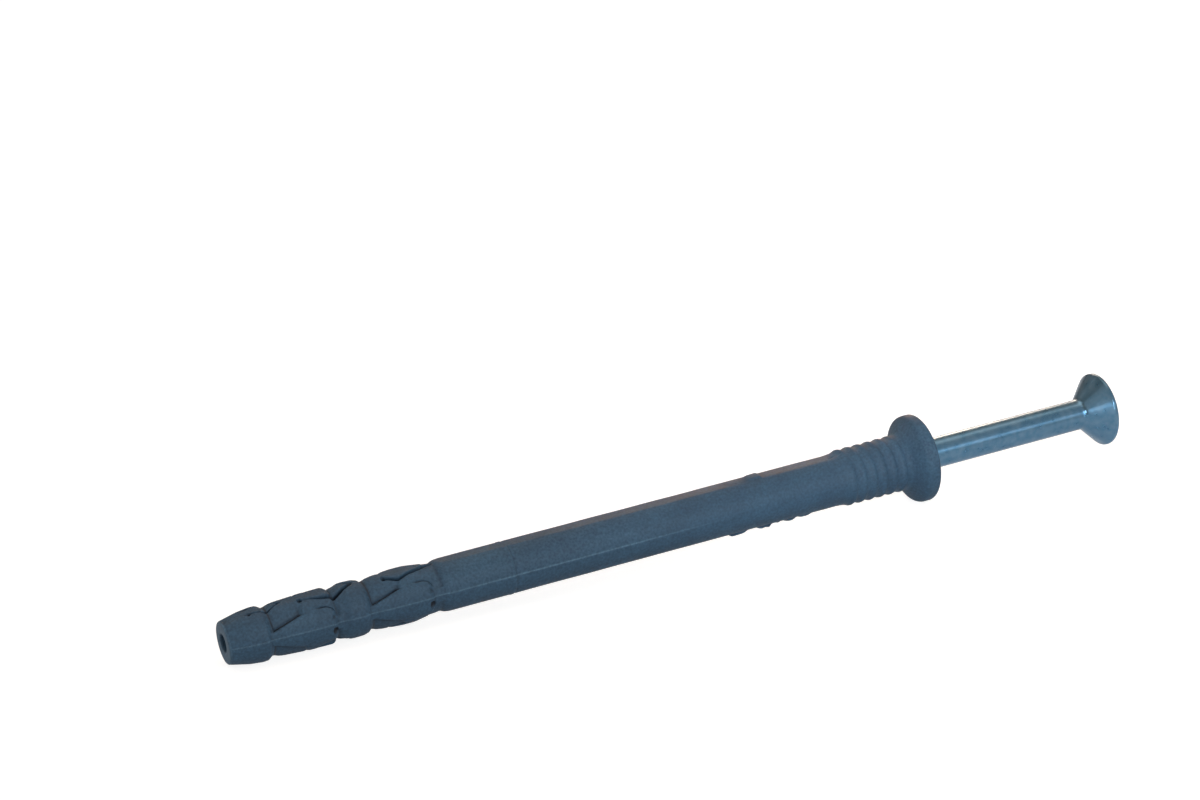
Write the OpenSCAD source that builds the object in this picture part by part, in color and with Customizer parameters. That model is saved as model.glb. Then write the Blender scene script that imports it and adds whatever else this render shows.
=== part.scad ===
// Hammer-in wall plug: a moulded nylon sleeve with a zinc plated nail screw pre-set in it.
// Both pieces are drawn upright on one axis, u = 0 at the sleeve's tip, then laid down so that
// the collar and the swell of the tip both touch z = 0, with the nail's head towards +X.

/* [Sleeve] */
// Length of the sleeve, tip to collar face
sleeve_len = 115; // [90:1:160]
// Diameter of the plain body, the size of the drilled hole
body_d = 8; // [7.8:0.1:8.4]
// Height that the expansion pads stand over the plain body
pad_rise = 0.2; // [0.1:0.05:0.3]
// Diameter of the flat face at the tip
tip_face_d = 6.5; // [6:0.1:7]
// Length of the tapered tip up to its widest ring
tip_taper_len = 5; // [4.6:0.1:5.4]
// Diameter at the widest ring of the tip
tip_swell_d = 8.2; // [8:0.05:8.4]
// Width of the two flats on the tip, one of which the plug lies on
tip_flat_w = 2.8; // [2:0.1:3]
// Diameter at the bottom of the ring notches between the segments
notch_d = 7.1; // [6.8:0.1:7.4]

/* [Expansion zone] */
// Distance from the tip to the first ring notch
notch_1 = 6.7; // [6.5:0.1:7.4]
// Length of the front pad segment
front_pad_len = 9.8; // [9.4:0.1:10.5]
// Length of the short barrel segment
barrel_len = 5.4; // [5:0.1:5.8]
// Length of the rear pad segment
rear_pad_len = 10.9; // [10.5:0.1:12]
// Half width of the spine that links the segments along the parting line
spine_half = 1.05; // [0.8:0.05:1.3]
// Half width of an arrow pad where its arrow ends
arrow_half = 2.45; // [2.2:0.05:2.6]
// Half width of an arrow pad at its widest
pad_half = 2.8; // [2.7:0.05:3]
// Length of a pad's arrow
arrow_len = 4; // [3.5:0.1:4.5]
// Length of the hollows between pads and tongues, from their notch
hollow_len = 5; // [4.7:0.1:5.2]
// Distance from the axis to the floor of a hollow at its notch
hollow_root = 3.4; // [3.3:0.05:3.5]
// Angle from the middle of a pad to the middle of a hollow
hollow_angle = 42; // [40:1:48]
// Width of the slots that free the pointed tongues
slot_w = 0.36; // [0.3:0.02:0.5]
// Half width of a tongue at its pits
tongue_half = 1.26; // [1.1:0.02:1.4]
// Half width of the front tongue at the second notch
tongue_waist = 1.8; // [1.6:0.05:1.9]
// Half width of a tongue at its widest
tongue_wide = 2.25; // [2.1:0.05:2.35]
// Diameter of the pits at the slots' tip ends
pit_d = 0.8; // [0.6:0.05:0.9]

/* [Body marks] */
// Height of the parting line over the surface
parting_h = 0.05; // [0.03:0.01:0.07]
// Width of the parting line
parting_w = 0.22; // [0.15:0.01:0.4]
// Width of the flat bands along the sleeve, on the sides of the tongues
band_w = 2.4; // [1.6:0.1:2.6]
// Distance from the tip to the ring mark round the body
ring_mark = 44.2; // [42:0.2:50]
// Distance from the collar face to the first tooth of the lower fin
fin_from_face = 34.4; // [32:0.2:37]
// Number of teeth on the lower fin
tooth_count = 4; // [2:1:4]
// Pitch of the teeth
tooth_pitch = 4; // [3.5:0.1:4.4]
// Height of the lower fin over the plain body
fin_h = 0.5; // [0.3:0.05:0.6]
// Width of the lower fin
fin_w = 1.3; // [1:0.1:1.8]
// Height of the low wedge on the upper side over the plain body
wedge_h = 0.24; // [0.15:0.01:0.35]
// Width of the wedge
wedge_w = 1.8; // [1.4:0.1:2.2]
// Length of the wedge
wedge_len = 2.8; // [2.2:0.1:3.4]
// Number of ring ribs under the collar
rib_count = 6; // [4:1:6]
// Pitch of the ring ribs
rib_pitch = 1.77; // [1.6:0.01:1.9]
// Diameter over the ring ribs
rib_d = 8.9; // [8.8:0.05:9.2]
// Distance from the collar face to the last ring rib
rib_from_face = 5; // [4.8:0.1:5.6]

/* [Collar] */
// Diameter of the collar
collar_d = 13.8; // [13:0.1:15]
// Height of the collar's rounded rim
rim_h = 2.6; // [2.3:0.1:2.8]
// Radius of the rim's edge that faces the wall
rim_back_r = 1.3; // [1:0.05:1.5]
// Radius of the rim's edge at the face
rim_front_r = 0.55; // [0.3:0.05:0.6]

/* [Bore] */
// Diameter of the bore from the collar to the expansion zone
bore_d = 5.4; // [5.2:0.1:5.8]
// Diameter of the guide bore through the expansion zone
guide_bore_d = 4.7; // [4.6:0.05:4.8]
// Diameter of the hole in the tip's face
tip_hole_d = 2.8; // [2.4:0.1:4]
// Thickness of the tip's end wall round that hole
tip_wall = 2.2; // [1.5:0.1:2.6]

/* [Nail screw] */
// Length of the nail screw over all
nail_len = 111; // [86:1:156]
// Height of the head's face over the collar before it is driven
head_standoff = 33; // [20:1:36]
// Diameter of the plain shank
shank_d = 4.8; // [4.5:0.1:5]
// Diameter over the thread
thread_d = 4.5; // [4.4:0.02:4.6]
// Length of the threaded stretch, with the point
thread_len = 64; // [50:1:70]
// Length of the point
point_len = 4.2; // [3:0.1:6]
// Diameter of the blunt end of the point
point_d = 0.7; // [0.4:0.1:1.2]
// Diameter of the head
head_d = 11.6; // [10.6:0.1:12.4]
// Height of the cylindrical edge of the head
head_edge = 0.6; // [0.5:0.1:1]
// Radius that rounds the edge of the head's face
head_round = 0.25; // [0.1:0.05:0.3]
// Radius of the fillet between head and shank
neck_fillet = 1.2; // [0.8:0.1:1.5]
// Gap all round the driven head in its seat
seat_gap = 0.05; // [0.03:0.01:0.08]

/* [Cross recess] */
// Span of the recess across its wings, at the face
recess_span = 6.8; // [6:0.1:7.4]
// Depth of the recess
recess_depth = 3.6; // [3:0.1:3.8]
// Width of a wing
wing_w = 1.5; // [1.2:0.1:1.8]
// Diameter of the round middle of the recess, at the face
recess_core_d = 3.2; // [2.6:0.1:3.6]
// Span of the four fine notches between the wings
tick_span = 5.6; // [5:0.1:6]
// Width and depth of a fine notch
tick_size = 0.3; // [0.2:0.05:0.4]
// Turn of the recess about the nail's axis
recess_turn = 20; // [0:5:85]

/* [Hidden] */
$fn = 96;
fine_fn = 24;
nylon = [0.23, 0.32, 0.42];
zinc = [0.62, 0.68, 0.73];
cut = 1;
mark = 0.05;

body_r = body_d / 2;
pad_r = body_r + pad_rise;
face_r = tip_face_d / 2;
swell_r = tip_swell_d / 2;
notch_r = notch_d / 2;
notch_2 = notch_1 + front_pad_len;
notch_3 = notch_2 + barrel_len;
notch_4 = notch_3 + rear_pad_len;
body_run_in = 1.6;
body_from = notch_4 + body_run_in;

// The tip's outline: its rounded edge, and a bulge that makes the taper convex
tip_edge = 0.25;
bulge_share_u = 0.6;
bulge_share_r = 0.74;
bulge_u = bulge_share_u * tip_taper_len;
bulge_r = face_r + bulge_share_r * (swell_r - face_r);
swell_drop_len = 0.9;
swell_to = notch_1 - swell_drop_len;

// Steps that shape the outline: into a notch, out of it, and down to a segment's end
notch_in = 0.15;
notch_out = 0.9;
open_len = 1.7;
bridge_len = 1.4;
pad_end_drop = 0.12;
pad_end_u = 0.3;
end_len = 2;
end_drop = 0.3;
barrel_low = 1.3;
barrel_high = 2;
spine_drop = 0.17;
spine_r = body_r - spine_drop;
rear_rest = 1.3;
rear_end = notch_4 - rear_rest;

// A hollow's floor, as steps along it and up from its root
hollow_u = [2, 4.2, 5.1];
hollow_up = [0.1, 0.25];

// The tongues: where each starts at its pits, is widest, and ends in a point
tip_pit_u = 4.1;
tip_pit_half = 1.06;
tip_tongue_half = 1.4;
tip_apex = notch_1 + 2.4;
pit_front = notch_1 + hollow_len + 0.1;
pit_rear = notch_3 + 2.85;
wide_rear = pit_rear + 2.15;
apex_front = notch_3 - 1.8;
apex_rear = notch_4 - 0.1;

// Small pits beside the spine, at the collar end of each pad
end_pit_d = 0.6;
end_pit_back = 0.5;
end_pit_depth = 0.55;

ring_land = 0.5;
ring_step = 0.1;

collar_r = collar_d / 2;
rim_back = sleeve_len - rim_h;
rim_u = rim_back + rim_back_r;
rim_c = collar_r - rim_back_r;
rim_turn = 60;
mouth_r = head_d / 2 + seat_gap;
seat_u = sleeve_len - head_edge;
seat_depth = mouth_r - bore_d / 2;

rib_round = 0.7;
rib_relief = 0.25;
rib_root_r = rib_d / 2 - rib_relief;
neck_r = rib_root_r + 2 * mark;
collar_slope = 0.75;
cone_to = rim_u - rim_back_r * sin(rim_turn);
cone_from = cone_to - (rim_c + rim_back_r * cos(rim_turn) - neck_r) * collar_slope;
rib_last = sleeve_len - rib_from_face;
rib_from = rib_last - (rib_count - 1) * rib_pitch;
flare_run = 2.6;
flare_rise = 0.08;
flare_from = rib_from - flare_run;
flats_to = rib_from - rib_pitch;

guide_to = notch_4 + 1;
bore_cone = 1;

head_r = head_d / 2;
shank_r = shank_d / 2;
thread_r = thread_d / 2;
thread_end = 0.3;
head_slope = 45;
head_cone_v = nail_len - head_edge;
neck_v = head_cone_v - (head_r - shank_r);
fillet_reach = neck_fillet * tan(head_slope / 2);
nail_from = sleeve_len + head_standoff - nail_len;

fin_from = sleeve_len - fin_from_face;
fin_run_in = 0.25;
tooth_rise = 0.45;
tooth_fall = 1.1;
tooth_gap = 0.6;
wedge_lag = 3.7;
wedge_from = fin_from + wedge_lag;
wedge_ramp = 1;
wedge_end = 0.3;

// Distances from the axis to the flats that run along the sides of the tongues
rest_r = sqrt(swell_r * swell_r - tip_flat_w * tip_flat_w / 4);
face_flat_r = sqrt(face_r * face_r - tip_flat_w * tip_flat_w / 4);
zone_flat_r = sqrt(pad_r * pad_r - band_w * band_w / 4);
band_r = sqrt(body_r * body_r - band_w * band_w / 4);

// The plug lies on the flat at the swell of the tip and on the back edge of the collar's rim
lie_reach = norm([rim_u - tip_taper_len, rim_c - rest_r]);
lie = atan2(rim_c - rest_r, rim_u - tip_taper_len) + asin(rim_back_r / lie_reach);
lift = rest_r * cos(lie) - tip_taper_len * sin(lie);
low_x = -(face_r - tip_edge) * sin(lie);
high_x = (sleeve_len + head_standoff) * cos(lie) + (head_r - head_round) * sin(lie);

function arc(centre, r, from, to, steps = 6) =
    [for (i = [0:steps]) centre + r * [cos(from + (to - from) * i / steps), sin(from + (to - from) * i / steps)]];

// A list of points on one side of the x axis, closed by its mirror image
function mirrored(side) =
    concat(side, [for (i = [len(side) - 1:-1:0]) [side[i].x, -side[i].y]]);

// A list of radius and distance points, moved outwards
function raised_by(points, rise) = [for (p = points) [p.x > 0 ? p.x + rise : 0, p.y]];

// Outline of a pad segment between its notch and its bridge
function segment_start(from) = [
    [notch_r, from - notch_in],
    [notch_r + mark, from + notch_in],
    [body_r - mark, from + open_len],
    [pad_r - mark, from + hollow_len],
    [pad_r, from + hollow_len + bridge_len]
];

// Outline of a pad segment as it falls towards its end
function segment_end(to) = [
    [body_r - mark, to - end_len],
    [body_r - end_drop, to - end_len / 2],
    [body_r - end_drop - mark, to - pad_end_u]
];

// Outline of the sleeve's core, radius against distance from the tip: the tip, the segments between
// their notches, the body, the ring mark, the neck and the collar
function core_outline() = concat(
    [[0, 0], [face_r - tip_edge, 0], [face_r, tip_edge], [bulge_r, bulge_u]],
    [[swell_r, tip_taper_len], [swell_r - mark, swell_to]],
    segment_start(notch_1),
    segment_end(notch_2),
    [[notch_r, notch_2], [notch_r + mark, notch_2 + notch_in]],
    [[spine_r, notch_2 + barrel_low], [pad_r - mark, notch_2 + barrel_high], [pad_r, notch_2 + barrel_len / 2]],
    [[pad_r - mark, notch_3 - barrel_low], [spine_r, notch_3 - notch_out / 2]],
    segment_start(notch_3),
    segment_end(rear_end),
    [[notch_r + 2 * mark, notch_4 - notch_in], [notch_r + 3 * mark, notch_4 + notch_in]],
    [[body_r - mark, notch_4 + notch_out], [body_r, notch_4 + notch_out + notch_in]],
    [[body_r - 2 * mark, body_from - notch_in], [body_r, body_from]],
    [[body_r, ring_mark - ring_land], [body_r + mark, ring_mark - ring_land + ring_step]],
    [[body_r + mark, ring_mark + ring_step], [body_r - mark, ring_mark + 2 * ring_step]],
    [[body_r - mark, ring_mark + ring_land - ring_step], [body_r, ring_mark + ring_land]],
    [[body_r, fin_from - fin_run_in], [body_r + flare_rise, flare_from]],
    [[rib_root_r, rib_from - rib_pitch / 2], [rib_root_r + mark, rib_last + rib_round]],
    [[neck_r, cone_from]],
    arc([rim_c, rim_u], rim_back_r, -rim_turn, 0),
    arc([collar_r - rim_front_r, sleeve_len - rim_front_r], rim_front_r, 0, 90, 4),
    [[0, sleeve_len]]
);

// Outline of what stands over the core in one segment: the spine, and the pad or tongue that swells
// towards the collar
function raised_segment(from, to) = [
    [spine_r, from + notch_in],
    [body_r, from + 2 * notch_out],
    [pad_r, from + hollow_len],
    [pad_r, to - 2 * pad_end_u],
    [pad_r - pad_end_drop, to - pad_end_u],
    [spine_r, to]
];

function raised_outline() = concat(
    [[0, notch_1 - notch_out], [spine_r, notch_1 - notch_out]],
    raised_segment(notch_1, notch_2 - notch_in),
    raised_segment(notch_3, rear_end),
    [[spine_r, body_from - notch_in], [0, body_from - notch_in]]
);

function bore_outline() = [
    [0, -cut],
    [tip_hole_d / 2, -cut],
    [tip_hole_d / 2, tip_wall],
    [guide_bore_d / 2, tip_wall + bore_cone],
    [guide_bore_d / 2, guide_to],
    [bore_d / 2, guide_to + bore_cone],
    [bore_d / 2, seat_u - seat_depth],
    [mouth_r, seat_u],
    [mouth_r, sleeve_len + cut],
    [0, sleeve_len + cut]
];

function nail_outline() = concat(
    [[0, 0], [point_d / 2, 0], [thread_r, point_len], [thread_r, thread_len], [shank_r, thread_len + thread_end]],
    arc([shank_r + neck_fillet, neck_v - fillet_reach], neck_fillet, 180, 180 - head_slope),
    [[head_r, head_cone_v], [head_r, nail_len - head_round]],
    arc([head_r - head_round, nail_len - head_round], head_round, 0, 90, 4),
    [[0, nail_len]]
);

// Plan of an arrow pad, half width against distance from the tip: an arrow that opens from its notch,
// and a collar end with round corners
function pad_plan(from, to) = mirrored(concat(
    [[from - notch_in, spine_half], [from + arrow_len, arrow_half], [from + hollow_len + bridge_len, pad_half]],
    arc([to - pad_half + spine_half, spine_half], pad_half - spine_half, 90, 0)
));

// Edges of the three pointed tongues on one side, half width against distance from the tip
tip_tongue = [[tip_pit_u, tip_pit_half], [notch_1, tip_tongue_half], [tip_apex, 0]];
front_tongue = [[pit_front, tongue_half], [notch_2 - notch_in, tongue_waist]];
front_point = [[notch_2 - notch_in, tongue_waist], [notch_2 + notch_in, tongue_wide], [apex_front, 0]];
rear_tongue = [[pit_rear, tongue_half], [wide_rear, tongue_wide], [apex_rear, 0]];

// A plate seen along the sleeve, drawn as distance from the axis against distance from the tip
module side_plate(width, angle) {
    rotate([0, 0, angle])
        rotate([90, 0, 0])
            linear_extrude(height = width, center = true)
                children();
}

// A plan drawn on the sleeve's surface, distance from the tip along x, standing out from a radius
module radial_prism(angle, from_r) {
    rotate([0, 0, angle])
        translate([from_r, 0, 0])
            rotate([0, -90, 180])
                linear_extrude(height = pad_r + cut - from_r)
                    children();
}

// What stands over the core within a plan
module raised(angle) {
    intersection() {
        rotate_extrude()
            polygon(raised_outline());
        radial_prism(angle, guide_bore_d / 4)
            children();
    }
}

module pads(angle) {
    raised(angle) {
        polygon(pad_plan(notch_1, notch_2 - notch_in));
        polygon(pad_plan(notch_3, rear_end));
        translate([notch_1 - notch_out, -spine_half])
            square([body_from - notch_1, 2 * spine_half]);
    }
}

module tongues(angle) {
    raised(angle) {
        polygon(mirrored(front_tongue));
        polygon(mirrored(rear_tongue));
    }
}

// Four hollows between the pads and the tongues, deep at their notch and rising towards the collar
module hollows(from) {
    for (angle = [hollow_angle, 180 - hollow_angle, 180 + hollow_angle, -hollow_angle])
        side_plate(2 * pad_r, angle)
            polygon([
                [hollow_root, from],
                [pad_r + cut, from],
                [pad_r + cut, from + hollow_u[2]],
                [pad_r, from + hollow_u[2]],
                [hollow_root + hollow_up[1], from + hollow_u[1]],
                [hollow_root + hollow_up[0], from + hollow_u[0]]
            ]);
}

// A slot along a path on both sides of a tongue
module slot(path) {
    for (side = [-1, 1])
        polygon(concat(
            [for (p = path) [p.x, side * (p.y - slot_w / 2)]],
            [for (i = [len(path) - 1:-1:0]) [path[i].x, side * (path[i].y + slot_w / 2)]]
        ));
}

// Slots that free the pointed tongues of one side, with a pit at each slot's start
module tongue_slots(angle) {
    radial_prism(angle, guide_bore_d / 4) {
        for (path = [tip_tongue, front_tongue, front_point, rear_tongue])
            slot(path);
        for (pit = [front_tongue[0], rear_tongue[0]], side = [-1, 1])
            translate([pit.x, side * pit.y])
                circle(d = pit_d, $fn = fine_fn);
    }
}

module end_pits(angle) {
    radial_prism(angle, body_r - end_pit_depth)
        for (end = [notch_2 - notch_in, rear_end], side = [-1, 1])
            translate([end - end_pit_back, side * spine_half])
                circle(d = end_pit_d, $fn = fine_fn);
}

// Flats along one side of the sleeve: on the tip, over the tongues and down the body to the ribs
module flats(angle) {
    side_plate(2 * pad_r, angle)
        polygon([
            [face_flat_r, -cut],
            [pad_r + cut, -cut],
            [pad_r + cut, flats_to],
            [band_r, flats_to],
            [band_r, body_from],
            [zone_flat_r, apex_rear],
            [zone_flat_r, pit_front + end_len],
            [rest_r, notch_1],
            [rest_r, tip_taper_len],
            [bulge_r - (swell_r - rest_r), bulge_u],
            [face_flat_r, 0]
        ]);
}

// Toothed fin that stops the sleeve from turning in its hole
module toothed_fin() {
    side_plate(fin_w, 90)
        polygon(concat(
            [[body_r - cut, fin_from]],
            [for (i = [0:tooth_count - 1]) each [
                [body_r - mark, fin_from + i * tooth_pitch],
                [body_r + fin_h, fin_from + i * tooth_pitch + tooth_rise],
                [body_r + fin_h, fin_from + (i + 1) * tooth_pitch - tooth_gap - tooth_fall],
                [body_r - mark, fin_from + (i + 1) * tooth_pitch - tooth_gap]
            ]],
            [[body_r - cut, fin_from + tooth_count * tooth_pitch - tooth_gap]]
        ));
}

// Low wedge on the other side, on the flat band
module wedge() {
    side_plate(wedge_w, -90)
        polygon([
            [body_r - cut, wedge_from],
            [body_r - mark, wedge_from],
            [body_r + wedge_h - mark, wedge_from + wedge_ramp],
            [body_r + wedge_h, wedge_from + wedge_len - wedge_end],
            [body_r - cut, wedge_from + wedge_len]
        ]);
}

module parting_lines() {
    for (angle = [0, 180])
        side_plate(parting_w, angle)
            intersection() {
                union() {
                    polygon(raised_by(core_outline(), parting_h));
                    polygon(raised_by(raised_outline(), parting_h));
                }
                translate([guide_bore_d / 2 + mark, notch_1 - notch_out])
                    square([collar_r, fin_from - notch_1]);
            }
}

module ribs() {
    for (i = [0:rib_count - 1])
        translate([0, 0, rib_from + i * rib_pitch])
            rotate_extrude()
                translate([rib_d / 2 - rib_round, 0])
                    circle(r = rib_round, $fn = fine_fn);
}

module upright_sleeve() {
    difference() {
        union() {
            difference() {
                rotate([0, 0, 90])
                    rotate_extrude()
                        polygon(core_outline());
                hollows(notch_1);
                hollows(notch_3);
                for (angle = [-90, 90])
                    flats(angle);
            }
            for (angle = [0, 180])
                pads(angle);
            for (angle = [-90, 90])
                intersection() {
                    tongues(angle);
                    side_plate(2 * pad_r, angle)
                        square([zone_flat_r, body_from]);
                }
            parting_lines();
            ribs();
            toothed_fin();
            wedge();
        }
        rotate_extrude()
            polygon(bore_outline());
        for (angle = [-90, 90])
            tongue_slots(angle);
        for (angle = [0, 180])
            end_pits(angle);
    }
}

module cross_recess() {
    intersection() {
        union() {
            for (angle = [0, 90])
                rotate([0, 0, angle])
                    translate([-recess_span / 2, -wing_w / 2, -recess_depth])
                        cube([recess_span, wing_w, recess_depth + cut]);
            translate([0, 0, -recess_depth])
                cylinder(r1 = recess_core_d / 4, r2 = recess_core_d / 2, h = recess_depth);
            translate([0, 0, -tick_size / 2])
                cylinder(r = recess_core_d / 2, h = tick_size);
        }
        translate([0, 0, -recess_depth])
            cylinder(r1 = wing_w / 2, r2 = recess_span / 2, h = recess_depth + tick_size / 2);
    }
    for (angle = [45, 135])
        rotate([0, 0, angle])
            translate([-tick_span / 2, -tick_size / 2, -tick_size])
                cube([tick_span, tick_size, tick_size + cut]);
}

module upright_nail() {
    difference() {
        rotate_extrude()
            polygon(nail_outline());
        translate([0, 0, nail_len])
            rotate([0, 0, recess_turn])
                cross_recess();
    }
}

// Lays a piece down on the ground, turned about its axis, with the ground's middle at the origin
module lay(turn) {
    translate([-(low_x + high_x) / 2, 0, lift])
        rotate([0, 90 - lie, 0])
            rotate([0, 0, turn])
                children();
}

module sleeve() {
    color(nylon)
        lay(-90)
            upright_sleeve();
}

module nail_screw() {
    color(zinc)
        lay(0)
            translate([0, 0, nail_from])
                upright_nail();
}

sleeve();
nail_screw();
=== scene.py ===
import math

import bpy
import numpy as np
from mathutils import Matrix, Vector


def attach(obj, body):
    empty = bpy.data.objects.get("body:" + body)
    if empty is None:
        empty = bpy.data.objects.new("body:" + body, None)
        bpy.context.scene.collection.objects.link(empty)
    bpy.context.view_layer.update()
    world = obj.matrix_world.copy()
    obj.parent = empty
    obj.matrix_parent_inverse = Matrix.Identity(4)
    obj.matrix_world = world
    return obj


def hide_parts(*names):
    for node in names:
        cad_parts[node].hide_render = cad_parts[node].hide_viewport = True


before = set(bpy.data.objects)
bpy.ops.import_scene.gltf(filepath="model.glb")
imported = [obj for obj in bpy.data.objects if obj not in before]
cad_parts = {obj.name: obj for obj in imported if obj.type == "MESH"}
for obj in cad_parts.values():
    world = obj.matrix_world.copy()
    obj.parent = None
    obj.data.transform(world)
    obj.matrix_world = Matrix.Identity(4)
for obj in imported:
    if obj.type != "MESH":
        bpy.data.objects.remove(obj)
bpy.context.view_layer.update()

# Camera
# It looks along the plug from its tip end, a little from above, and leans slightly to the left. The focal
# length and the place come from the taper of the plug's outline and the tilt of its rings.
PHOTO_W = 1200
FOCAL_PX = 3224
camera_data = bpy.data.cameras.new("camera")
camera_data.sensor_width = 36
camera_data.lens = FOCAL_PX * camera_data.sensor_width / PHOTO_W
camera_data.clip_start = 0.01
camera = bpy.data.objects.new("camera", camera_data)
camera.location = (-0.18729, -0.42143, 0.17087)
camera.rotation_euler = (math.radians(72.484), math.radians(5.086), math.radians(-24.173))
bpy.context.scene.collection.objects.link(camera)
bpy.context.scene.camera = camera


# Floor
# A plain pale table that glows white to the camera and half as bright to the metal. The plug's shadow stays
# on it.
def put(tree, value, socket):
    """Links a node's output to a socket, or sets the socket to a plain value."""
    if isinstance(value, bpy.types.NodeSocket):
        tree.links.new(value, socket)
    else:
        socket.default_value = value


def worked_out(tree, operation, first, second):
    """The output of a math node: the operation on first and second, each an output or a number."""
    node = tree.nodes.new("ShaderNodeMath")
    node.operation = operation
    put(tree, first, node.inputs[0])
    put(tree, second, node.inputs[1])
    return node.outputs["Value"]


FLOOR_HALF = 6
TABLE_GREY = 0.38
TABLE_GLOW = 0.84
MIRROR_SHARE = 0.5
floor_mesh = bpy.data.meshes.new("floor")
floor_corners = [(FLOOR_HALF * x, FLOOR_HALF * y, 0) for x, y in ((-1, -1), (1, -1), (1, 1), (-1, 1))]
floor_mesh.from_pydata(floor_corners, [], [(0, 1, 2, 3)])
floor = bpy.data.objects.new("floor", floor_mesh)
bpy.context.scene.collection.objects.link(floor)
table = bpy.data.materials.new("table_white")
table.use_nodes = True
table_tree = table.node_tree
table_shader = table_tree.nodes["Principled BSDF"]
table_shader.inputs["Base Color"].default_value = (TABLE_GREY, TABLE_GREY, TABLE_GREY, 1)
table_shader.inputs["Roughness"].default_value = 0.9
table_shader.inputs["Emission Color"].default_value = (1, 1, 1, 1)
table_path = table_tree.nodes.new("ShaderNodeLightPath")
in_metal = worked_out(table_tree, "MULTIPLY", table_path.outputs["Is Glossy Ray"], MIRROR_SHARE)
seen = worked_out(table_tree, "MAXIMUM", table_path.outputs["Is Camera Ray"], in_metal)
glow = worked_out(table_tree, "MULTIPLY", seen, TABLE_GLOW)
put(table_tree, glow, table_shader.inputs["Emission Strength"])
floor_mesh.materials.append(table)


# Light
# A soft box in front, a narrow and a high one at the right that the shank mirrors, weak ones from the left,
# warmer ones behind and above, small ones with grids on the collar, and a dim warm room.
def soft_box(name, place, size, power, colour, aim=(0, 0, 0), spread=180):
    """An area lamp of a given size at a place in metres, aimed at a point; a grid narrows its spread, which
    is in degrees."""
    lamp = bpy.data.lights.new(name, "AREA")
    lamp.shape = "RECTANGLE"
    lamp.size, lamp.size_y = size
    lamp.energy = power
    lamp.color = colour
    lamp.spread = math.radians(spread)
    holder = bpy.data.objects.new(name, lamp)
    turned = (Vector(place) - Vector(aim)).to_track_quat("Z", "Y")
    holder.matrix_world = Matrix.Translation(place) @ turned.to_matrix().to_4x4()
    bpy.context.scene.collection.objects.link(holder)


MIX_FIRST = 6
MIX_SECOND = 7
MIX_RESULT = 2


def mixed(tree, factor, first, second, blend="MIX"):
    """A colour mix node's output: first where the factor is 0, first blended with second where it is 1."""
    mix = tree.nodes.new("ShaderNodeMix")
    mix.data_type = "RGBA"
    mix.blend_type = blend
    put(tree, factor, mix.inputs[0])
    put(tree, first, mix.inputs[MIX_FIRST])
    put(tree, second, mix.inputs[MIX_SECOND])
    return mix.outputs[MIX_RESULT]


soft_box("front_box", (0.07, -0.5, 0.2), (0.3, 0.25), 1.02, (0.9, 0.96, 1))
soft_box("side_box", (0.42, -0.66, 0.26), (0.3, 0.16), 0.18, (0.93, 0.97, 1))
soft_box("collar_box", (-0.25, -0.6, 0.3), (0.08, 0.08), 0.013, (0.9, 0.97, 1), (0.045, 0, 0.012), 12)
soft_box("high_box", (0.5, -0.4, 0.58), (0.5, 0.7), 0.33, (0.82, 0.93, 1))
soft_box("left_box", (-0.7, -0.1, 0.55), (0.5, 0.5), 0.3, (1, 0.95, 0.9))
soft_box("tip_box", (-0.75, -0.3, 0.12), (0.2, 0.2), 0.6, (0.93, 0.97, 1))
soft_box("back_box", (0.24, 0.45, 0.18), (0.12, 0.12), 0.0075, (1, 0.6, 0.38), (0.035, 0, 0.012), 14)
soft_box("rear_box", (-0.55, 0.6, 0.3), (0.4, 0.3), 1.2, (1, 0.93, 0.87))
soft_box("wall_box", (0.59, 0.85, 0.46), (0.3, 0.38), 0.5, (1, 0.66, 0.46))
soft_box("top_box", (0.15, 0.1, 0.8), (0.6, 0.6), 1.6, (1, 0.82, 0.68))
ROOM = (0.32, 0.26, 0.21, 1)
WHITE = (1, 1, 1, 1)
world = bpy.data.worlds.new("room")
world.use_nodes = True
world_path = world.node_tree.nodes.new("ShaderNodeLightPath")
room_colour = mixed(world.node_tree, world_path.outputs["Is Camera Ray"], ROOM, WHITE)
put(world.node_tree, room_colour, world.node_tree.nodes["Background"].inputs["Color"])
bpy.context.scene.world = world

# Sleeve
# The plug's body, moulded in one piece of slate blue nylon in a two-part mould: the seam between the mould
# halves runs along its near and far sides. Arrow pads and pointed tongues swell when the nail is driven in.

# the axis: its angle to the ground, the tip's place in mm, and the ways along it, to the near side and down
MM = 0.001
LIE = math.radians(1.60562)
TIP = np.array([-74.0067, 0, 3.712])
ALONG = np.array([math.cos(LIE), 0, math.sin(LIE)])
NEAR = np.array([0, -1, 0])
DOWN = np.array([math.sin(LIE), 0, -math.cos(LIE)])


def ease(t):
    """0 for t below 0, 1 for t above 1, and t * t * (3 - 2 * t) between them."""
    t = np.clip(t, 0, 1)
    return t * t * (3 - 2 * t)


def step_up(x, start, run):
    """0 up to start and 1 from start + run on, eased between them."""
    return ease((x - start) / run)


def step_down(x, start, run):
    """1 up to start and 0 from start + run on, eased between them."""
    return 1 - step_up(x, start, run)


def bell(x, middle, half):
    """A soft line about its middle: exp(-((x - middle) / half)**2)."""
    return np.exp(-((x - middle) / half) ** 2)


def between(x, low, high):
    """True where x is above low and under high."""
    return (x > low) & (x < high)


def lesser(a, b, round_off):
    """The smaller of a and b, rounded where they meet: (a + b - sqrt((a - b)**2 + round_off**2)) / 2."""
    return (a + b - np.sqrt((a - b) ** 2 + round_off ** 2)) / 2


def greater(a, b, round_off):
    """The larger of a and b, rounded where they meet: (a + b + sqrt((a - b)**2 + round_off**2)) / 2."""
    return (a + b + np.sqrt((a - b) ** 2 + round_off ** 2)) / 2


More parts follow.
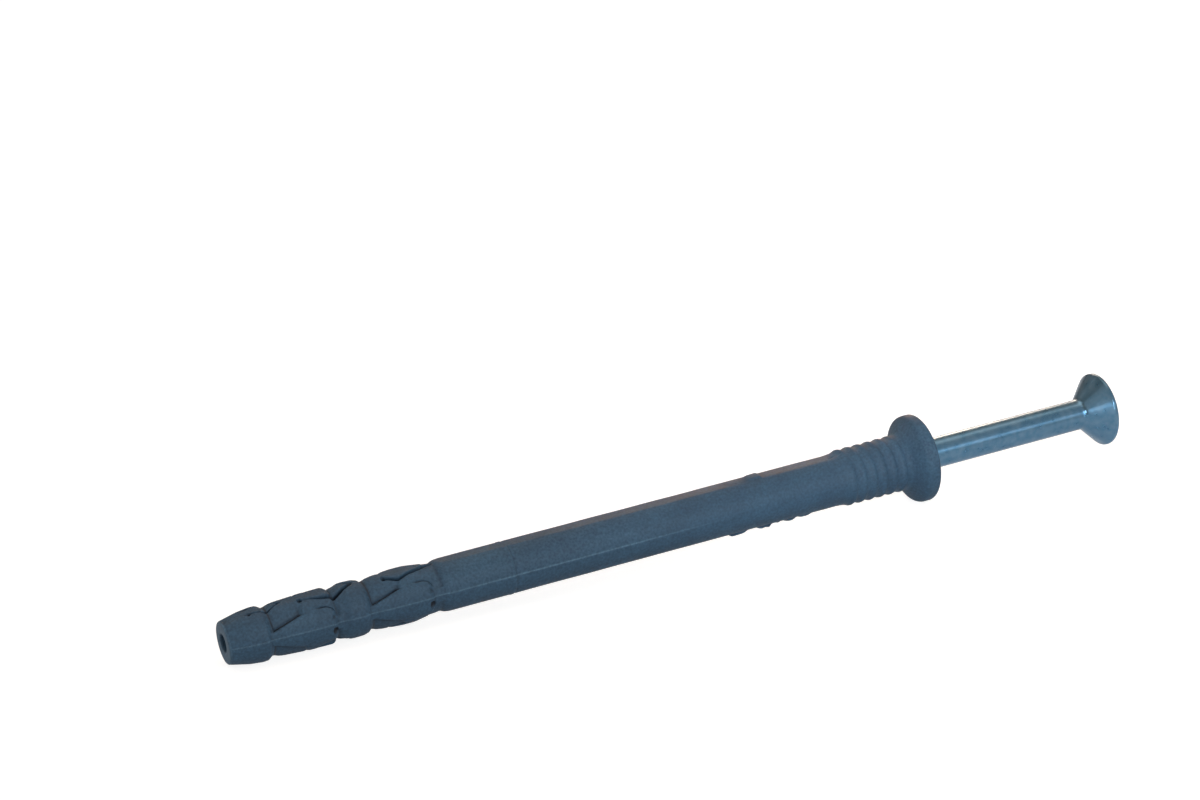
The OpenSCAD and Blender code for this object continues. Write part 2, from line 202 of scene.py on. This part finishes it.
def lines(points, at):
    """Straight lines through (x, y) points, read at given x."""
    xs, ys = np.array(points, dtype=float).T
    return np.interp(at, xs, ys)


def curve(points, at, soft):
    """Straight lines through (x, y) points, each value averaged over x - soft / 2 to x + soft / 2."""
    samples = 40000
    low, high = points[0][0], points[-1][0]
    fine = np.linspace(low - 1, high + 1, samples)
    total = np.cumsum(lines(points, fine)) * (fine[1] - fine[0])
    at = np.clip(at, low, high)
    return (np.interp(at + soft / 2, fine, total) - np.interp(at - soft / 2, fine, total)) / soft


def columns(anchors, counts):
    """Grid lines between anchors: counts[k] equal steps from anchors[k] to anchors[k + 1], one row of lines
    for each row of the anchors."""
    steps = []
    for start, end, count in zip(anchors[:-1], anchors[1:], counts):
        steps.append(start[:, None] + (end - start)[:, None] * (np.arange(count) / count)[None, :])
    return np.concatenate(steps, axis=1)


def grid_piece(name, points, poles=()):
    """A mesh over a grid of points: rows along the piece, columns round it. The columns close up; without
    poles the rows do too, and with poles each end row is closed by a fan to its pole."""
    rows, cols = points.shape[:2]
    index = np.arange(rows * cols).reshape(rows, cols)
    above = np.roll(index, -1, axis=0)
    if poles:
        index, above = index[:-1], above[:-1]
    beside = np.roll(index, -1, axis=1)
    above_beside = np.roll(above, -1, axis=1)
    faces = np.stack([index, beside, above_beside, above], axis=-1).reshape(-1, 4).tolist()
    places = points.reshape(-1, 3)
    for number, (pole, row) in enumerate(zip(poles, (0, rows - 1))):
        ring = np.arange(cols) + row * cols
        centre = np.full(cols, rows * cols + number)
        ahead = np.roll(ring, -1)
        fan = [centre, ahead, ring] if row == 0 else [ring, ahead, centre]
        faces += np.stack(fan, axis=-1).tolist()
        places = np.vstack([places, pole])
    mesh = bpy.data.meshes.new(name)
    mesh.from_pydata((places * MM).tolist(), [], faces)
    mesh.shade_smooth()
    piece = bpy.data.objects.new(name, mesh)
    bpy.context.scene.collection.objects.link(piece)
    return piece


def laid(u, r, phi):
    """A point at distance u from the sleeve's tip and r from the axis:
    TIP + u * ALONG + r * (cos(phi) * NEAR + sin(phi) * DOWN)."""
    u, r, phi = np.broadcast_arrays(u, r, phi)
    across = np.cos(phi)[..., None] * NEAR + np.sin(phi)[..., None] * DOWN
    return TIP + u[..., None] * ALONG + r[..., None] * across


def reach(u, v, path):
    """Distance from (u, v) to the nearest point of a path of straight pieces."""
    best = np.full(u.shape, np.inf)
    for (u0, v0), (u1, v1) in zip(path[:-1], path[1:]):
        du, dv = u1 - u0, v1 - v0
        t = np.clip(((u - u0) * du + (v - v0) * dv) / (du * du + dv * dv), 0, 1)
        best = np.minimum(best, np.hypot(u - u0 - t * du, v - v0 - t * dv))
    return best


def oval(u, v, middle_u, middle_v, half_u, half_v):
    """0 in an oval's middle and 1 on its edge: hypot((u - middle_u) / half_u, (v - middle_v) / half_v)."""
    return np.hypot((u - middle_u) / half_u, (v - middle_v) / half_v)


def turn_arc(centre_u, centre_r, radius, start, end, count):
    """Points (u, r) on an arc about a centre; the angle in degrees counts from the outward direction."""
    angle = np.radians(np.linspace(start, end, count))
    return np.stack([centre_u + radius * np.sin(angle), centre_r + radius * np.cos(angle)], axis=1)


# outline of the core and of what stands over it: distance from the tip, radius
BODY_R = 4
BORE_R = 2.7
GUIDE_R = 2.35
NOTCHES = (6.7, 16.5, 21.9, 32.8)
PAD_STARTS = (NOTCHES[0], NOTCHES[2])
PAD_ENDS = (16.35, 31.5)
CORE_SOFT = 0.16
EDGE_SOFT = 0.12
core_points = [(-1, 3.25), (0.2, 3.26), (3, 3.88), (5, 4.1), (5.8, 4.05), (6.5, 3.56), (6.85, 3.58),
               (7.6, 3.83), (8.4, 3.96), (11.7, 4.15), (13.1, 4.2), (14.3, 3.93), (15.5, 3.72),
               (16.2, 3.66), (16.42, 3.52), (16.62, 3.56), (17, 3.74), (17.8, 3.9), (18.5, 4.15),
               (19.2, 4.2), (20.6, 4.15), (21.3, 3.95), (21.75, 3.55), (22.05, 3.58), (22.7, 3.82),
               (23.6, 3.96), (26.9, 4.15), (28.3, 4.2), (29.4, 3.94), (30.6, 3.76), (31.8, 3.7),
               (32.65, 3.6), (32.95, 3.66), (33.3, 3.86), (33.8, 3.95), (34.4, BODY_R), (43.7, BODY_R),
               (43.8, 4.05), (44.3, 4.05), (44.42, 3.94), (44.6, 3.94), (44.75, BODY_R), (98.8, BODY_R),
               (100, 4.1), (100.6, 4.22), (109.8, 4.26), (110.2, 4.3), (112, 4.4)]
top_points = [(5.8, 3.83), (6.9, 3.84), (8.5, 4.02), (11.7, 4.2), (15.75, 4.2), (16.05, 4.08),
              (16.35, 3.83), (22, 3.83), (23.7, 4.02), (26.9, 4.2), (30.8, 4.2), (31.1, 4.08),
              (31.4, 3.83), (34.3, 3.83), (34.6, BODY_R)]

# rows of the grid: the outside, each stretch with its count of rows, then the rim, the mouth, the bore and
# the tip's hole
SLEEVE_LEN = 115
COLLAR_R = 6.9
RIM_BACK_U = 113.7
RIM_BACK_R = 1.3
RIM_FRONT_R = 0.55
stretches = [(0.35, 5.6, 20), (5.6, 7.3, 24), (7.3, 11.3, 25), (11.3, 12.4, 11), (12.4, 15.2, 15),
             (15.2, 17.2, 24), (17.2, 20.4, 22), (20.4, 21.2, 5), (21.2, 22.9, 20), (22.9, 24.2, 8),
             (24.2, 25.3, 11), (25.3, 30.3, 27), (30.3, 34.6, 34), (34.6, 43.5, 10), (43.5, 45, 15),
             (45, 80.2, 21), (80.2, 97.6, 68), (97.6, 101, 14), (101, 111.1, 60)]
stretch_rows = [np.linspace(start, end, count, endpoint=False) for start, end, count in stretches]
outer_u = np.concatenate(stretch_rows)
rim_rows = np.concatenate([
    [(111.2, 4.38), (111.55, 4.8), (112.1, 5.6)],
    turn_arc(RIM_BACK_U, COLLAR_R - RIM_BACK_R, RIM_BACK_R, -60, 0, 12),
    turn_arc(SLEEVE_LEN - RIM_FRONT_R, COLLAR_R - RIM_FRONT_R, RIM_FRONT_R, 0, 86, 9),
    [(115, 6.25), (115, 6.1), (115, 5.93), (114.95, 5.87), (114.7, 5.85), (114.45, 5.85), (114.3, 5.75)],
    [(112.8, 4.25), (111.35, 2.8), (111.1, BORE_R), (95, BORE_R), (75, BORE_R), (55, BORE_R), (35, BORE_R)],
    [(33.8, GUIDE_R), (20, GUIDE_R), (3.4, GUIDE_R), (3.2, 2.3), (2.2, 1.42), (1.9, 1.4), (0.3, 1.4)],
    [(0.08, 1.43), (0.02, 1.52), (0, 1.9), (0, 2.5), (0, 2.95), (0.03, 3.07), (0.1, 3.17), (0.2, 3.23)],
])
row_u = np.concatenate([outer_u, rim_rows[:, 0]])
row_r = np.concatenate([curve(core_points, outer_u, CORE_SOFT), rim_rows[:, 1]])
outer = np.concatenate([np.ones(len(outer_u)), np.zeros(len(rim_rows))])[:, None]

# columns of the grid follow the pads' edges and the slots: w counts in mm round the surface from the seam,
# and v from the middle of a tongue
ARC_R = 4.1
QUARTER = 6.44
SEAM_ROOM = 0.2
SPINE_HALF = 1.05
PAD_CORNER = 1.75
INSIDE_PAD = 0.06
OUTSIDE_PAD = 0.16
ZONE_END = 34
PLAIN_HALF = 1.8
RIM_HALF = 1.2
SLOT_ROOM = 0.3
LEAST_ROOM = 0.08
arrow_points = [(-0.15, SPINE_HALF), (4, 2.45), (6.4, 2.8)]
pad_edge = np.full(len(row_u), SPINE_HALF)
for start, end in zip(PAD_STARTS, PAD_ENDS):
    rising = lines(arrow_points, row_u - start)
    past = np.clip(row_u - end + PAD_CORNER, 0, PAD_CORNER)
    falling = np.sqrt(PAD_CORNER ** 2 - past ** 2) + SPINE_HALF
    pad_edge = np.where(between(row_u, start, end), np.minimum(rising, falling), pad_edge)
pad_edge = np.where(row_u > ZONE_END, PLAIN_HALF, pad_edge)
slot_points = [(0, 1.1), (4.1, 1.06), (6.7, 1.4), (9.1, 0), (11.8, 1.26), (16.35, 1.8), (16.65, 2.25),
               (20.1, 0), (24.75, 1.26), (26.9, 2.25), (32.7, 0), (36, 1.15), (80, 1.15), (82, 0.65),
               (101, 0.65), (104, 1.4)]
slot_edge = np.where(outer[:, 0] > 0, lines(slot_points, row_u), RIM_HALF)
seam_side = np.zeros(len(row_u))
tongue_side = np.full(len(row_u), QUARTER)
anchors = [seam_side, seam_side + SEAM_ROOM, pad_edge - INSIDE_PAD, pad_edge + OUTSIDE_PAD,
           tongue_side - slot_edge - SLOT_ROOM, tongue_side - np.maximum(slot_edge - SLOT_ROOM, LEAST_ROOM),
           tongue_side]
first_quarter = columns(anchors, (3, 8, 6, 12, 14, 9))
last_quarter = np.concatenate([tongue_side[:, None], first_quarter[:, :0:-1]], axis=1)
turn = first_quarter * (math.pi / 2 / QUARTER)
back = last_quarter * (math.pi / 2 / QUARTER)
phi = np.concatenate([turn, math.pi - back, math.pi + turn, 2 * math.pi - back], axis=1)
w = np.concatenate([first_quarter, last_quarter, first_quarter, last_quarter], axis=1)
v = QUARTER - w
u = np.broadcast_to(row_u[:, None], w.shape)
below = (phi < math.pi)
pad_side = pad_edge[:, None]
slot_side = slot_edge[:, None]

# the hollows beside the arrows: deepest along a pad's edge, rising towards the tongue
HOLLOW_ROOT = 3.4
HOLLOW_RISE = 0.05
HOLLOW_RISE_LEN = 5
HOLLOW_LEN = 4
HOLLOW_SKEW = 0.9
HOLLOW_BEND = 1.3
HOLLOW_LEAD = 0.1
OPENING_RUN = 0.3
CLOSING_RUN = 0.7
TONGUE_EDGE = 1.3
share = np.clip((w - pad_side) / (QUARTER - TONGUE_EDGE - pad_side), 0, 1)
height = np.broadcast_to(row_r[:, None], w.shape)
for start in PAD_STARTS:
    hollow_r = HOLLOW_ROOT + HOLLOW_RISE * np.clip(u - start, 0, HOLLOW_RISE_LEN)
    closing = step_down(u - HOLLOW_SKEW * share, start + HOLLOW_LEN, CLOSING_RUN)
    opening = step_up(u, start - HOLLOW_LEAD, OPENING_RUN)
    scoop = np.clip(height - hollow_r, 0, None) * (1 - share ** HOLLOW_BEND) * closing * opening
    height = height - scoop * outer

# the pads and their spine, and the tongues, stand over the core; each pair is a place and the run from it
ZONE_RISE = (5.9, 0.5)
ZONE_FALL = (34.1, 0.4)
PAD_SLOPE = 0.13
TONGUE_SLOPE = 0.1
FRONT_TONGUE = (11.8, 16.4)
REAR_TONGUE = (24.75, 32.7)
top_r = curve(top_points, row_u, EDGE_SOFT)[:, None]
zone = step_up(u, *ZONE_RISE) * step_down(u, *ZONE_FALL) * outer
height = height + zone * step_down(w, pad_side, PAD_SLOPE) * np.clip(top_r - height, 0, None)
tongue = (between(u, *FRONT_TONGUE) | between(u, *REAR_TONGUE)) * outer
height = height + tongue * step_down(v, slot_side, TONGUE_SLOPE) * np.clip(top_r - height, 0, None)

# the flats above and below, in line with the tongues: distance from the tip, from the axis to the flat
FLAT_ROUND = 0.03
FLAT_REACH = 3
flat_points = [(0, 2.94), (3, 3.64), (5, 3.86), (6.7, 3.87), (13.9, 4.02), (32.7, 4.02), (34.4, 3.82),
               (99.3, 3.82), (101.2, 4.2), (102, 6)]
flat_r = lines(flat_points, u) / np.cos(np.clip(v, 0, FLAT_REACH) / ARC_R)
height = np.where(outer > 0, lesser(height, flat_r, FLAT_ROUND), height)

# the fin with its uneven teeth below, and the low wedge above: distance from the tip, rise over the body
FIN_REACH = (80, 101)
FIN_SIDE = (0.6, 0.12)
WEDGE_SIDE = (0.8, 0.45)
teeth = [(79, -1), (80.5, -0.3), (80.72, 0.2), (81.1, 0.47), (81.6, 0.5), (82.9, 0.46), (83.4, 0.38),
         (83.8, 0.2), (84.15, 0.05), (84.4, -0.1), (85.1, -0.1), (85.4, 0.1), (85.8, 0.36), (86.3, 0.5),
         (86.6, 0.48), (86.85, 0.41), (87.1, 0.45), (87.5, 0.57), (87.75, 0.5), (88, 0.15), (88.6, 0.12),
         (88.8, 0.15), (89.1, 0.26), (89.35, 0.22), (89.7, 0.02), (90, 0.1), (90.4, 0.28), (90.9, 0.42),
         (91.3, 0.47), (91.8, 0.4), (92.1, 0.25), (92.35, 0.12), (92.55, 0.12), (92.8, 0.22), (93.15, 0.34),
         (94.2, 0.34), (94.6, 0.25), (95.1, 0.1), (95.5, -0.05), (96, -0.3), (96.2, -1), (101, -1)]
wedge = [(79, -1), (81, -1), (81.5, -0.12), (84.4, -0.04), (84.8, 0.06), (85.3, 0.19), (86.7, 0.24),
         (86.95, 0.22), (87.1, -0.12), (87.2, -1), (101, -1)]
teeth_rise = curve(teeth, row_u, EDGE_SOFT)[:, None]
wedge_rise = curve(wedge, row_u, EDGE_SOFT)[:, None]
fin_r = BODY_R + np.where(below, teeth_rise, wedge_rise)
fin_side = np.where(below, step_down(v, *FIN_SIDE), step_down(v, *WEDGE_SIDE))
height = height + outer * between(u, *FIN_REACH) * fin_side * np.clip(fin_r - height, 0, None)

# ring ribs under the collar, each a round bead
RIB_FROM = 101.16
RIB_PITCH = 1.77
RIB_COUNT = 6
RIB_MIDDLE_R = 3.75
RIB_ROUND = 0.7
RIB_REACH = 0.9
RIB_BLEND = 0.04
for k in range(RIB_COUNT):
    from_rib = u - RIB_FROM - RIB_PITCH * k
    bulge = RIB_MIDDLE_R + np.sqrt(np.clip(RIB_ROUND ** 2 - from_rib ** 2, 0, None))
    near_rib = (np.abs(from_rib) < RIB_REACH) & (outer > 0)
    height = np.where(near_rib, greater(height, bulge, RIB_BLEND), height)

# slots and pits round the tongues, and the small slot at the end of the upper flat; a pit or small slot is
# given by its middle and its half sizes, along and round the sleeve
SLOT_FLOOR = 2.75
SLOT_SLOPE = 0.07
PITS = ((11.8, 1.26, 0.36, 0.42), (24.75, 1.26, 0.3, 0.45))
PIT_SIDE = (0.85, 0.25)
VENT = (99.35, 0.35, 0.42, 0.2)
VENT_SIDE = (0.8, 0.35)
tip_slot = [(4.1, 1.06), (6.7, 1.4), (9.1, 0)]
front_slot = [(11.8, 1.26), (16.35, 1.8)]
point_slot = [(16.35, 1.8), (16.65, 2.25), (20.1, 0)]
rear_slot = [(24.75, 1.26), (26.9, 2.25), (32.7, 0)]
grooves = np.zeros(u.shape)
for path, half in ((tip_slot, 0.15), (front_slot, 0.17), (point_slot, 0.22), (rear_slot, 0.18)):
    grooves = np.maximum(grooves, step_down(reach(u, v, path), half, SLOT_SLOPE))
for pit in PITS:
    grooves = np.maximum(grooves, step_down(oval(u, v, *pit), *PIT_SIDE))
vent = step_down(oval(u, v, *VENT), *VENT_SIDE) * (phi > 1.5 * math.pi)
grooves = np.maximum(grooves, vent) * outer
height = height - grooves * np.clip(height - SLOT_FLOOR, 0, None)

# a sunk line beside each pad, weaker where its arrow ends: distance from the tip, share of its depth
LINE_DEPTH = 0.34
LINE_OUT = 0.19
LINE_HALF = 0.15
FRONT_LINE = (6.8, 16.3)
REAR_LINE = (22, 31.4)
line_points = [(10.6, 1), (12, 0.1), (13.4, 0.1), (14.5, 1), (25.8, 1), (27.2, 0.1), (28.6, 0.1), (29.7, 1)]
beside_pads = between(u, *FRONT_LINE) | between(u, *REAR_LINE)
pad_line = bell(w, pad_side + LINE_OUT, LINE_HALF) * beside_pads * outer
height = height - LINE_DEPTH * pad_line * lines(line_points, u)

# dents at the start of the tip's slots and at the ends of the pads, the lower ones deeper
DENT_DEPTH = 0.5
TIP_DENT = 1.6
TIP_DENT_SIDE = (0.28, 0.12)
PAD_DENT_BACK = 0.5
PAD_DENT_SIDEWAYS = 1.1
PAD_DENT_STRETCH = 1.2
LOWER_DENT = 0.34
UPPER_DENT = 0.2
PAD_DENT_SLOPE = 0.14
UPPER_SHARE = 0.35
dents = TIP_DENT * step_down(np.hypot(u - tip_slot[0][0], v - tip_slot[0][1]), *TIP_DENT_SIDE)
for end in PAD_ENDS:
    off_middle = oval(u, w, end - PAD_DENT_BACK, PAD_DENT_SIDEWAYS, 1, PAD_DENT_STRETCH)
    dent = step_down(off_middle, np.where(below, LOWER_DENT, UPPER_DENT), PAD_DENT_SLOPE)
    dents = np.maximum(dents, dent * np.where(below, 1, UPPER_SHARE))
height = height - DENT_DEPTH * dents * outer

# the mould's seam, which fades along the body, and the slight waviness of a moulded surface
SEAM_RISE = 0.05
SEAM_HALF = 0.12
SEAM_FADE = (60, 24)
WAVE_SEED = 7
WAVE_COUNT = 10
WAVE_RISE = 0.0035
WAVE_PITCHES = (0.15, 0.9)
WAVE_LOBES = (1, 6)
WAVE_SHIFT = 6.28
seam_with_painted_highlight = bell(w, 0, SEAM_HALF) * step_down(u, *SEAM_FADE) * outer
height = height + SEAM_RISE * seam_with_painted_highlight
draws = np.random.default_rng(WAVE_SEED)
for _ in range(WAVE_COUNT):
    pitch = draws.uniform(*WAVE_PITCHES)
    lobes = draws.integers(*WAVE_LOBES)
    height = height + WAVE_RISE * np.sin(u * pitch + lobes * phi + draws.uniform(0, WAVE_SHIFT)) * outer

# how far each point lies under or over the surface round it: painted shade in the moulding's corners and
# painted light on its ridges
PAINTED_SHADE_FULL = 0.3
PAINTED_SHADE_FADE = (97, 3)
NOTCH_PAINTED_SHADES = (0.9, 0.55, 0.9, 0.4)
NOTCH_HALF = 0.17
NOTCH_START = (1.1, 0.4)
TIP_FACE_LEN = 0.25
TIP_HOLE_R = 1.45
TIP_FACE_PAINTED_LIGHT = 0.5
mean_height = height
for axis, steps in ((0, 5), (1, 7)):
    moved = [np.roll(mean_height, shift, axis=axis) for shift in range(-steps, steps + 1)]
    mean_height = sum(moved) / len(moved)
painted_corner_shade = np.clip((mean_height - height) / PAINTED_SHADE_FULL, -1, 1) * step_down(u, *PAINTED_SHADE_FADE) * outer
# painted shade along each notch, away from the seam
for notch, shade in zip(NOTCHES, NOTCH_PAINTED_SHADES):
    painted_corner_shade = np.maximum(painted_corner_shade, shade * bell(u, notch, NOTCH_HALF) * step_up(w, *NOTCH_START) * outer)
# the tip's end face gets painted light through the ridges' colour
tip_face = (outer < 1) & (u < TIP_FACE_LEN) & (height > TIP_HOLE_R)
painted_corner_shade = painted_corner_shade - TIP_FACE_PAINTED_LIGHT * tip_face

sleeve = grid_piece("sleeve_moulding", laid(u, height, phi))
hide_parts("sleeve")
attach(sleeve, "sleeve_body")
# a painted highlight along the seam, weaker towards the tip
painted_seam_highlight_share = [(30, 0.6), (40, 1)]
painted_seam_highlight = seam_with_painted_highlight * lines(painted_seam_highlight_share, u)
# painted shade in the slots, pits and dents, beside the corners' painted shade and the ridges' painted
# light
shades = {"hollow": grooves + dents, "seam_with_painted_highlight": painted_seam_highlight, "painted_corner_shade": painted_corner_shade, "painted_ridge_light": -painted_corner_shade}
for name, values in shades.items():
    shade_data = sleeve.data.attributes.new(name, "FLOAT", "POINT").data
    shade_data.foreach_set("value", np.clip(values, 0, 1).ravel())


def noise_over(tree, scale, detail):
    """Noise over the piece's own coordinates, finer as the scale grows; its values lie about 0.5."""
    place = tree.nodes.new("ShaderNodeTexCoord")
    noise = tree.nodes.new("ShaderNodeTexNoise")
    noise.inputs["Scale"].default_value = scale
    noise.inputs["Detail"].default_value = detail
    tree.links.new(place.outputs["Object"], noise.inputs["Vector"])
    return noise.outputs["Fac"]


def shaded(tree, value, low, low_colour, high, high_colour):
    """A colour ramp's output: low_colour up to the value low, high_colour from high on, even between."""
    ramp = tree.nodes.new("ShaderNodeValToRGB")
    for element, position, colour in zip(ramp.color_ramp.elements, (low, high), (low_colour, high_colour)):
        element.position = position
        element.color = colour
    tree.links.new(value, ramp.inputs["Fac"])
    return ramp.outputs["Color"]


def roughen(tree, value, strength, depth):
    """Bumps of a given depth in metres, after a value, on the shader's normal."""
    bump = tree.nodes.new("ShaderNodeBump")
    bump.inputs["Strength"].default_value = strength
    bump.inputs["Distance"].default_value = depth
    tree.links.new(value, bump.inputs["Height"])
    tree.links.new(bump.outputs["Normal"], tree.nodes["Principled BSDF"].inputs["Normal"])


nylon = bpy.data.materials.new("nylon")
nylon.use_nodes = True
nylon_tree = nylon.node_tree
nylon_shader = nylon_tree.nodes["Principled BSDF"]
nylon_shader.inputs["Roughness"].default_value = 0.62
nylon_shader.inputs["IOR"].default_value = 1.53
nylon_shader.inputs["Specular IOR Level"].default_value = 0.35
clouds = noise_over(nylon_tree, scale=160, detail=5)
NYLON_DARK = (0.029, 0.071, 0.125, 1)
NYLON_PALE = (0.038, 0.094, 0.16, 1)
nylon_colour = shaded(nylon_tree, clouds, low=0.3, low_colour=NYLON_DARK, high=0.75, high_colour=NYLON_PALE)
# painted light and shade: a painted highlight on the ridges, the tip's face and the seam, and painted shade
# in the corners, notches, slots, pits and dents
for name, over in (("painted_ridge_light", (0.075, 0.15, 0.23, 1)), ("seam_with_painted_highlight", (0.08, 0.16, 0.24, 1)),
                   ("painted_corner_shade", (0.01, 0.019, 0.033, 1)), ("hollow", (0.008, 0.015, 0.026, 1))):
    shade_node = nylon_tree.nodes.new("ShaderNodeAttribute")
    shade_node.attribute_name = name
    nylon_colour = mixed(nylon_tree, shade_node.outputs["Fac"], nylon_colour, over)
nylon_grain = noise_over(nylon_tree, scale=2600, detail=4)
SPECK_DARK = (0.72, 0.74, 0.76, 1)
SPECK_PALE = (1.25, 1.25, 1.25, 1)
speckle = shaded(nylon_tree, nylon_grain, low=0.3, low_colour=SPECK_DARK, high=0.7, high_colour=SPECK_PALE)
put(nylon_tree, mixed(nylon_tree, 1, nylon_colour, speckle, "MULTIPLY"), nylon_shader.inputs["Base Color"])
roughen(nylon_tree, nylon_grain, strength=0.6, depth=0.00004)
sleeve.data.materials.append(nylon)

# Nail screw
# Cold-headed steel wire, zinc plated and blue passivated, with a rolled right-hand thread on the stretch
# that stands in the sleeve, a 90 degree countersunk head and a pressed cross recess.
NAIL_FROM = 37
NAIL_LEN = 111
BLANK_R = 2.25
SHANK_R = 2.4
NECK_ROUND = 1.2
HEAD_R = 5.8
HEAD_EDGE = 0.6
EDGE_ROUND = 0.12
FACE_ROUND = 0.25

# rows of the grid: distance from the point, radius; up the side to the head's rim, then in over its face
cone_tip = NAIL_LEN - HEAD_EDGE - HEAD_R
neck_v = cone_tip + SHANK_R - NECK_ROUND * math.tan(math.pi / 8)
edge_v = NAIL_LEN - HEAD_EDGE + EDGE_ROUND * (math.sqrt(2) - 1)
THREAD_ROWS = (4.2, 64.4, 0.21)
thread_v = np.arange(*THREAD_ROWS)
side_rows = np.concatenate([
    [(0.03, 0.3), (0.12, 0.38), (0.5, 0.58), (1.5, 1.02), (2.8, 1.6), (3.7, 2.05)],
    np.stack([thread_v, np.full(len(thread_v), BLANK_R)], axis=1),
    [(plain_v, SHANK_R) for plain_v in (64.7, 66, 75, 85, 95, 102, 105.8)],
    turn_arc(neck_v, SHANK_R + NECK_ROUND, -NECK_ROUND, 0, -45, 8),
    [(cone_tip + cone_r, cone_r) for cone_r in (3, 3.6, 4.8, 5.55)],
    turn_arc(edge_v, HEAD_R - EDGE_ROUND, EDGE_ROUND, -40, 0, 4),
    turn_arc(NAIL_LEN - FACE_ROUND, HEAD_R - FACE_ROUND, FACE_ROUND, 0, 85, 7),
])
face_r = np.concatenate([[5.45, 4.9, 4.2, 3.75], np.linspace(3.5, 0.12, 35)])
nail_v = np.concatenate([side_rows[:, 0], np.full(len(face_r), NAIL_LEN)])[:, None]
nail_r = np.concatenate([side_rows[:, 1], face_r])[:, None]
on_face = np.concatenate([np.zeros(len(side_rows)), np.ones(len(face_r))])[:, None]

# columns of the grid follow the wings and the fine notches of the recess; psi is the angle from a wing
WING_TURN = math.radians(20)
WING_HALF = 0.75
WING_SINE_MOST = 0.6
TICK_ROOM = 0.25
TICK_ANGLE_MOST = 0.12
WALL_ROOM = 0.14
WALL_SHARE = 0.3
SIDE_COLUMNS_R = 4
EIGHTH = math.pi / 4
radius = np.where(on_face > 0, nail_r, SIDE_COLUMNS_R)[:, 0]
wing_angle = np.arcsin(np.minimum(WING_HALF / radius, WING_SINE_MOST))
tick_angle = np.minimum(TICK_ROOM / radius, TICK_ANGLE_MOST)
wall_angle = np.minimum(WALL_ROOM / radius, wing_angle * WALL_SHARE)
wing_line = np.zeros(len(radius))
tick_line = np.full(len(radius), EIGHTH)
nail_anchors = [wing_line, wing_angle - wall_angle, wing_angle + wall_angle / 2, tick_line - tick_angle,
                tick_line]
first_eighth = columns(nail_anchors, (5, 6, 4, 5))
last_eighth = 2 * EIGHTH - np.concatenate([tick_line[:, None], first_eighth[:, :0:-1]], axis=1)
wing_to_wing = np.concatenate([first_eighth, last_eighth], axis=1)
psi = np.concatenate([wing_to_wing + k * 2 * EIGHTH for k in range(4)], axis=1)

# the recess: four wings that slope in to a round middle, and four fine notches between them
RECESS_DEPTH = 3.6
WING_REACH = 3.4
MIDDLE_R = 1.6
TICK_DEPTH = 0.3
TICK_HALF = 0.2
TICK_END = (2.6, 0.2)
WING_SIDE = (0.6, 0.2)
from_wing = np.abs((psi + EIGHTH) % (2 * EIGHTH) - EIGHTH)
along_wing = nail_r * np.cos(from_wing)
across_wing = nail_r * np.sin(from_wing)
wing_floor = np.clip(RECESS_DEPTH * (WING_REACH - along_wing) / (WING_REACH - WING_HALF), 0, RECESS_DEPTH)
wing = wing_floor * step_down(across_wing, *WING_SIDE)
middle = np.clip(RECESS_DEPTH * (MIDDLE_R - nail_r) / (MIDDLE_R / 2), 0, RECESS_DEPTH)
across_tick = nail_r * np.sin(np.abs(EIGHTH - from_wing))
tick = TICK_DEPTH * np.clip(1 - across_tick / TICK_HALF, 0, 1) * step_down(nail_r, *TICK_END)
recess = np.maximum(np.maximum(wing, middle), tick) * on_face

# the thread: a ridge that rises slowly and falls steeply in each turn
PITCH = 1.8
THREAD_ROOT = 1.88
THREAD_RISE = 0.36
THREAD_START = (4, 1.5)
THREAD_END = (62.4, 1.6)
CREST_FROM = 0.72
CREST_FALL = (0.82, 0.16)
nail_phi = psi + WING_TURN
phase = (nail_v / PITCH - nail_phi / (2 * math.pi)) % 1
thread = np.clip(phase / CREST_FROM, 0, 1) * step_down(phase, *CREST_FALL)
threaded = step_up(nail_v, *THREAD_START) * step_down(nail_v, *THREAD_END) * (1 - on_face)
nail_radius = nail_r + threaded * (THREAD_ROOT + THREAD_RISE * thread - nail_r)
nail_poles = (TIP + NAIL_FROM * ALONG, TIP + (NAIL_FROM + NAIL_LEN - RECESS_DEPTH) * ALONG)
nail = grid_piece("nail_screw_turned", laid(NAIL_FROM + nail_v - recess, nail_radius, nail_phi), nail_poles)
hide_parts("nail_screw")
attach(nail, "nail_body")

zinc = bpy.data.materials.new("zinc")
zinc.use_nodes = True
zinc_tree = zinc.node_tree
zinc_shader = zinc_tree.nodes["Principled BSDF"]
zinc_shader.inputs["Metallic"].default_value = 1
film = noise_over(zinc_tree, scale=800, detail=4)
ZINC_DARK = (0.095, 0.22, 0.355, 1)
ZINC_PALE = (0.155, 0.285, 0.42, 1)
zinc_colour = shaded(zinc_tree, film, low=0.35, low_colour=ZINC_DARK, high=0.7, high_colour=ZINC_PALE)
put(zinc_tree, zinc_colour, zinc_shader.inputs["Base Color"])
polish = zinc_tree.nodes.new("ShaderNodeMapRange")
polish.inputs["To Min"].default_value = 0.24
polish.inputs["To Max"].default_value = 0.34
put(zinc_tree, film, polish.inputs["Value"])
put(zinc_tree, polish.outputs["Result"], zinc_shader.inputs["Roughness"])
roughen(zinc_tree, noise_over(zinc_tree, scale=1500, detail=3), strength=0.15, depth=0.00002)
nail.data.materials.append(zinc)

bpy.context.scene.view_settings.view_transform = "Standard"
